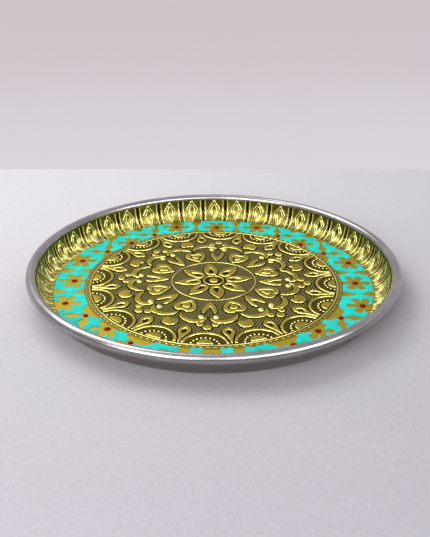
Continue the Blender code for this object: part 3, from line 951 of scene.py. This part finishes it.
def enamel_pools():
    profile = [(BAND_INNER, ENAMEL_TOP), (BAND_OUTER, ENAMEL_TOP), (BAND_OUTER, ENAMEL_BASE),
               (BAND_INNER, ENAMEL_BASE), (BAND_INNER, ENAMEL_TOP)]
    ring = put("pools", turned("pools", profile))
    cutters = [cutter(*gap) for gap in gaps]
    for solid in cutters:
        cut = ring.modifiers.new("cut", "BOOLEAN")
        cut.operation = "DIFFERENCE"
        cut.solver = "EXACT"
        cut.object = solid
    brim = ring.modifiers.new("brim", "BEVEL")
    brim.width = BRIM
    brim.segments = 2
    brim.limit_method = "ANGLE"
    mesh = plain_mesh(ring)
    for solid in cutters:
        bpy.data.objects.remove(solid, do_unlink=True)
    return mesh


def drop_slivers(mesh, least):
    """Deletes the bodies whose upper face is smaller than least, in square metres."""
    work = bmesh.new()
    work.from_mesh(mesh)
    left = set(work.verts)
    slivers = []
    kept = 0
    while left:
        front = [left.pop()]
        body = list(front)
        while front:
            vertex = front.pop()
            near = {edge.other_vert(vertex) for edge in vertex.link_edges} & left
            left -= near
            front += near
            body += near
        faces = {face for vertex in body for face in vertex.link_faces}
        area = sum(face.calc_area() for face in faces if face.normal.z > 0.5)
        if area < least:
            slivers += body
        else:
            kept += 1
    bmesh.ops.delete(work, geom=slivers, context="VERTS")
    work.to_mesh(mesh)
    work.free()
    heights = [vertex.co.z for vertex in mesh.vertices]
    print(f"enamel pools: {kept}, from {min(heights) * 1000:.2f} to {max(heights) * 1000:.2f} mm high")
    return mesh


# %% Turquoise enamel
turquoise, place = new_finish("turquoise_enamel", Coat_Roughness=0.12, Specular_IOR_Level=0.15)
clouds = noise(place, 70, 3)
grain = noise(place, 1400, 2)
ripple = noise(place, 240, 2)
lead(
    turquoise,
    Base_Color=(clouds * 0.7 + grain * 0.3).step(0.3, 0.7).mix(colour(0, 208, 196), colour(8, 234, 221)),
    Roughness=0.3 + 0.2 * (grain - 0.5),
    Coat_Weight=0.04 + 0.08 * clouds,
    Normal=bump(ripple, 0.00012, bump(grain, 0.00002)),
)
cells = [name for name in frame["nodes"] if name.startswith("turquoise_cell")]
pools = drop_slivers(enamel_pools(), LEAST_POOL)
add_piece("turquoise_pools", pools, turquoise, "turquoise_enamel", *cells)

# %% [markdown]
# ## Red drops
#
# A drop of dark red enamel sits at the heart of each flower, and a smaller one where four leaves meet.
# Enamel draws itself into a low dome, so each is a flattened sphere, half sunk in the gilt.

# %% Red drops
red, place = new_finish("red_enamel", Coat_Weight=0.02, Coat_Roughness=0.1, Specular_IOR_Level=0.05)
depth = noise(place, 500, 2)
lead(
    red,
    Base_Color=depth.step(0.3, 0.7).mix(colour(110, 2, 0), colour(138, 8, 0)),
    Roughness=0.3 + 0.14 * depth,
    Normal=bump(noise(place, 700, 2), 0.00004),
)
DROP_RISE = 0.001
joined = bmesh.new()
for points, size in ((TILES, 0.0026), (CROSSES, 0.0021)):
    spots = [trellis_place(point) for point in points if in_band(point)]
    ticks = lines_mesh("spots", [[(spot.x, spot.y), (spot.x + TICK, spot.y)] for spot in spots], False)
    drop = {"Size": (size, size, DROP_RISE), "Segments": 24, "Rings": 12, "Material": red}
    joined.from_mesh(grown(ticks, beads_along, Spacing=ONE_BEAD, **drop))
    print(f"red drops {2000 * size:.1f} mm wide: {len(spots)}")
stones = bpy.data.meshes.new("stones")
joined.to_mesh(stones)
joined.free()
drops = [name for name in frame["nodes"] if name.startswith("red_drop")]
add_piece("red_drops", stones, red, "red_enamel", *drops)

# %% [markdown]
# ## Bonding film
#
# The film under the liner's floor can't be seen. Its solid stays as it is, and only gets a finish:
# cloudy dried glue.

# %% Bonding film
film_finish, place = new_finish("bonding_film_finish")
clouds = noise(place, 60, 3)
glue = clouds.mix(colour(214, 206, 180), colour(190, 180, 150))
lead(film_finish, Base_Color=glue, Roughness=0.5 + 0.2 * clouds)
film = frame["nodes"]["liner_film"]
film.data.materials.clear()
film.data.materials.append(film_finish)
print("finish of the film:", film.data.materials[0].name)

# %% [markdown]
# ## Table and light
#
# The plate stands on a pale cloth before a low lilac grey wall. The wall is only seen, by the camera and
# as a mirror image, and casts neither light nor shadow. The key is a soft box over the plate's back
# left, so the shadow falls to the front and right, and a wide box at the front left fills it. Three
# more boxes are seen only as mirror images: they draw the bright lines on the front shoulders of the
# relief and along the rolled rim. The room is dimmer on the camera's side than behind the plate.

# %% Cloth
cloth, place = new_finish("pale_cloth", Specular_IOR_Level=0.1)
weave = noise(place, 900, 2, (1, 0.25, 1)) * 0.5 + noise(place, 900, 2, (0.25, 1, 1)) * 0.5
folds = noise(place, 7, 2, (0.5, 1.6, 1))
x = place.node("ShaderNodeSeparateXYZ", (), {0: place}, "X")
# Painted shade: the cloth is painted darker toward the front and the right, as the light falls off away
# from the key.
rear = (x.also("Y") - 0.2 * x).step(-0.42, 0.3)
painted_shade_cloth = weave.step(0.3, 0.7).mix(colour(180, 175, 183), colour(190, 186, 193))
pale = weave.step(0.3, 0.7).mix(colour(216, 213, 217), colour(228, 226, 229))
lead(
    cloth,
    Base_Color=rear.mix(painted_shade_cloth, pale),
    Roughness=0.85 + 0.1 * weave,
    Normal=bump(folds, 0.004, bump(weave, 0.00015)),
)


def sheet(name, corners, material):
    mesh = bpy.data.meshes.new(name)
    mesh.from_pydata(corners, [], [(0, 1, 2, 3)])
    mesh.materials.append(material)
    obj = put(name, mesh)
    print(f"{name}: reaches {max(corner[1] for corner in corners)} m behind the plate's middle")
    return obj


SIDE = 2
CLOTH_START = -1.5
CLOTH_END = 0.3
corners = [(-SIDE, CLOTH_START, 0), (SIDE, CLOTH_START, 0), (SIDE, CLOTH_END, 0), (-SIDE, CLOTH_END, 0)]
sheet("cloth", corners, cloth)

# %% Wall behind
# Camera and mirror rays see the wall at its tone, painted darker toward the top as painted shade, and
# all other rays meet plain paint.
lilac, place = new_finish("lilac_wall", Emission_Strength=1.0, Specular_IOR_Level=0.0)
rays = place.node("ShaderNodeLightPath", output="Is Camera Ray")
mirrored = rays.math("MAXIMUM", rays.also("Is Glossy Ray"), rays.also("Is Transmission Ray"))
seen = rays.math("MAXIMUM", rays, mirrored)
height = place.node("ShaderNodeSeparateXYZ", (), {0: place}, "Z")
mottle = noise(place, 14, 3)
# Painted shade: the wall is painted darker toward its top.
tone_with_painted_shade = (height + 0.03 * (mottle - 0.5)).step(0, 0.17).mix(colour(219, 213, 219), colour(206, 197, 202))
lead(
    lilac,
    Base_Color=seen.mix(colour(214, 206, 212), colour(0, 0, 0)),
    Emission_Color=seen.mix(colour(0, 0, 0), tone_with_painted_shade),
    Roughness=0.9 + 0.05 * mottle,
)
WALL_RISE = 0.24
corners = [(-SIDE, CLOTH_END, 0), (SIDE, CLOTH_END, 0), (SIDE, CLOTH_END, WALL_RISE),
           (-SIDE, CLOTH_END, WALL_RISE)]
wall_behind = sheet("wall_behind", corners, lilac)
wall_behind.visible_diffuse = False
wall_behind.visible_shadow = False

# %% Room
world = bpy.data.worlds.new("studio")
world.use_nodes = True
sky = Wire(world.node_tree)
direction = sky.node("ShaderNodeTexCoord", output="Generated")
rear = direction.vector("DOT_PRODUCT", direction, (0, 0.7, 0.7), output="Value")
shade = rear.step(-0.35, 0.85).mix(colour(122, 117, 118), colour(208, 208, 212))
world.node_tree.links.new(shade.socket, world.node_tree.nodes["Background"].inputs["Color"])
bpy.context.scene.world = world
print("world:", world.name)


# %% Soft boxes
def soft_box(name, place, size, watts):
    """A flat lamp of this width and height, turned to the plate."""
    lamp = bpy.data.lights.new(name, "AREA")
    lamp.shape = "RECTANGLE"
    lamp.size, lamp.size_y = size
    lamp.energy = watts
    box = put(name, lamp)
    box.location = place
    box.rotation_euler = Vector(place).to_track_quat("Z", "Y").to_euler()
    print(f"{name}: {watts} W")
    return box


soft_box("key_box", (-0.45, 0.36, 0.8), (0.8, 0.6), 4.4)
soft_box("front_fill", (-0.3, -0.9, 0.46), (0.8, 0.4), 7.0).visible_glossy = False
soft_box("left_sheen", (-0.52, -0.8, 0.72), (0.85, 0.7), 10.5).visible_diffuse = False
soft_box("right_sheen", (0.42, -0.86, 0.8), (0.7, 0.55), 6.5).visible_diffuse = False
soft_box("far_sheen", (0.85, -0.45, 0.65), (0.5, 0.5), 5).visible_diffuse = False
